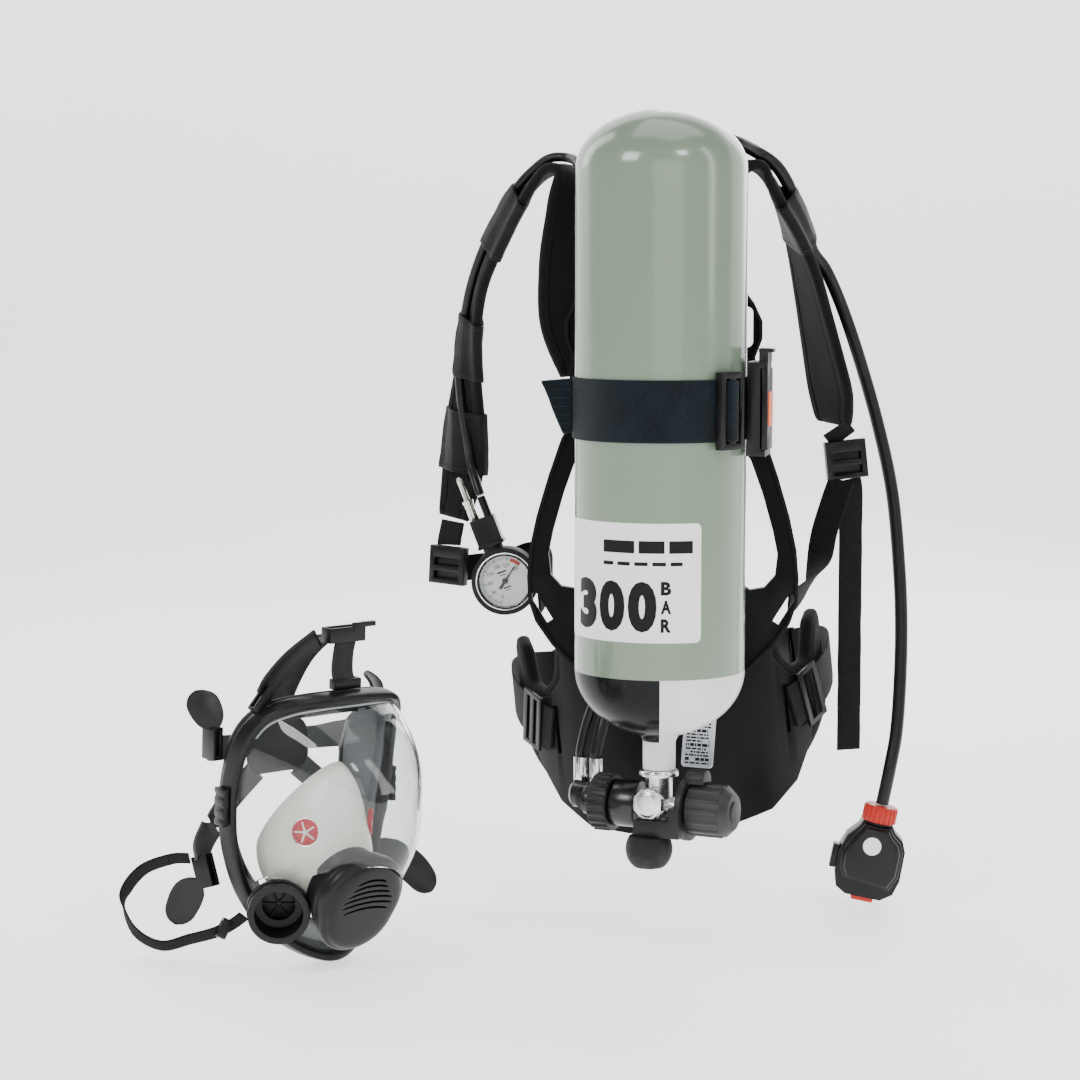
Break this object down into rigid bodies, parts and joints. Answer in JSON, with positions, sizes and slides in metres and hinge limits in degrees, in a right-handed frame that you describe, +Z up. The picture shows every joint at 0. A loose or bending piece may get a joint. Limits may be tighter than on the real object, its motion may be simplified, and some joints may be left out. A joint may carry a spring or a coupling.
{
  "type": "breathing apparatus",
  "caption": "Open-circuit air set: steel cylinder with valve and reducer on a moulded back plate and harness, with a gauge, a demand valve and a full-face mask beside it.",
  "frame": {"origin": "middle of the upper edge of the hook slot at the top of the back plate, where the hanging set rests on its hook", "axes": "+Z up along the cylinder, +Y from the cylinder towards the wearer, +X towards the demand valve's side"},
  "size_m": [0.6327, 0.5843, 0.6735],
  "materials": {
    "frame_plastic": "moulded, satin",
    "black_rubber": "matt",
    "steel": "satin",
    "cylinder_paint": "gloss enamel with a black and off-white shoulder",
    "chrome": "polished",
    "black_plastic": "moulded, satin",
    "reducer_metal": "black anodised",
    "plate_metal": "brushed",
    "navy_webbing": "woven",
    "hose_rubber": "fine matt",
    "pad_fabric": "woven cover over foam",
    "sleeve_fabric": "coated fabric",
    "black_webbing": "woven",
    "nickel": "nickel plated",
    "wheel_rubber": "ribbed, matt",
    "orange_plastic": "smooth",
    "dial_face": "printed",
    "clear_lens": "clear",
    "needle_black": "matt",
    "valve_plastic": "moulded, satin",
    "red_plastic": "moulded",
    "mask_rubber": "matt",
    "clear_visor": "clear, hard coated",
    "cup_silicone": "translucent cream",
    "red_rubber": "soft"
  },
  "bodies": {
    "frame": {"backplate": "frame_plastic", "cradle_pads": "black_rubber", "plate_screws": "steel", "cylinder_shell": "cylinder_paint", "valve_body": "chrome", "valve_plug": "chrome", "valve_guard": "black_plastic", "bumper_foot": "black_rubber", "outlet_collar": "black_plastic", "reducer_body": "reducer_metal", "hose_ferrules": "chrome", "data_plate": "plate_metal", "cylinder_strap": "navy_webbing", "buckle_base": "black_plastic", "buckle_pin": "steel", "gauge_hose": "hose_rubber", "supply_hose_upper": "hose_rubber", "supply_hose": "hose_rubber", "shoulder_pad_left": "pad_fabric", "shoulder_pad_right": "pad_fabric", "hose_sleeves": "sleeve_fabric", "shoulder_buckles": "black_plastic", "shoulder_webbing": "black_webbing", "lower_webbing": "black_webbing", "swivel_pin": "steel", "whistle_block": "black_plastic", "whistle": "nickel", "gauge_stem": "nickel"},
    "waist": {"lumbar_shell": "frame_plastic", "hip_pad": "pad_fabric", "belt_webbing": "black_webbing", "belt_sliders": "black_plastic", "belt_buckle": "black_plastic"},
    "handwheel": {"handwheel": "wheel_rubber", "valve_spindle": "steel"},
    "coupling": {"coupling_wheel": "wheel_rubber"},
    "cam_lever": {"buckle_lever": "black_plastic", "buckle_mark": "orange_plastic"},
    "gauge": {"gauge_boot": "black_rubber", "gauge_dial": "dial_face", "gauge_lens": "clear_lens"},
    "needle": {"gauge_needle": "needle_black"},
    "demand_valve": {"demand_body": "valve_plastic", "demand_cover": "valve_plastic", "demand_spigot": "black_plastic"},
    "bypass": {"bypass_ring": "red_plastic"},
    "standby": {"standby_button": "red_plastic"},
    "latch": {"release_latch": "black_plastic"},
    "mask": {"mask_bezel": "black_plastic", "bezel_clamps": "black_plastic", "mask_visor": "clear_visor", "face_seal": "mask_rubber", "inner_mask": "cup_silicone", "inhale_valves": "red_rubber", "speech_housing": "valve_plastic", "speech_cover": "valve_plastic", "mask_port": "valve_plastic", "head_harness": "mask_rubber", "harness_buckles": "black_plastic", "neck_strap": "black_webbing"}
  },
  "joints": [
    {"name": "hand_wheel", "type": "hinge", "parent": "frame", "child": "handwheel", "pos_m": [0, -0.08, -0.521], "axis": [0.9272, -0.3746, 0], "range_deg": [0, 720]},
    {"name": "coupling_wheel", "type": "hinge", "parent": "frame", "child": "coupling", "pos_m": [0, -0.08, -0.521], "axis": [0.9272, -0.3746, 0], "continuous": true},
    {"name": "strap_lever", "type": "hinge", "parent": "frame", "child": "cam_lever", "pos_m": [0.08357, -0.07963, -0.191], "axis": [0, 0, 1], "range_deg": [0, 110]},
    {"name": "waist_swivel", "type": "hinge", "parent": "frame", "child": "waist", "pos_m": [0, 0.03, -0.406], "axis": [0, 1, 0], "range_deg": [-9, 18]},
    {"name": "gauge_swivel", "type": "hinge", "parent": "frame", "child": "gauge", "pos_m": [-0.141, 0.092, -0.354], "axis": [-0.3584, 0, 0.9336], "range_deg": [-170, 170]},
    {"name": "needle_turn", "type": "hinge", "parent": "gauge", "child": "needle", "pos_m": [-0.141, 0.092, -0.354], "axis": [0, 1, 0], "range_deg": [-182, 40]},
    {"name": "valve_swivel", "type": "hinge", "parent": "frame", "child": "demand_valve", "pos_m": [0.187, -0.002, -0.533], "axis": [0.1994, 0, 0.9799], "range_deg": [-170, 170]},
    {"name": "bypass_turn", "type": "hinge", "parent": "demand_valve", "child": "bypass", "pos_m": [0.187, -0.002, -0.533], "axis": [0.1994, 0, 0.9799], "range_deg": [0, 180]},
    {"name": "standby_press", "type": "slide", "parent": "demand_valve", "child": "standby", "axis": [0.1994, 0, 0.9799], "range_m": [0, 0.003], "stiffness_N_per_m": 2500},
    {"name": "latch_press", "type": "slide", "parent": "demand_valve", "child": "latch", "axis": [0.9799, 0, -0.1994], "range_m": [0, 0.0028], "stiffness_N_per_m": 2000},
    {"name": "mask_lift", "type": "slide", "parent": "frame", "child": "mask", "axis": [0, 0, 1], "range_m": [0, 0.25]}
  ]
}
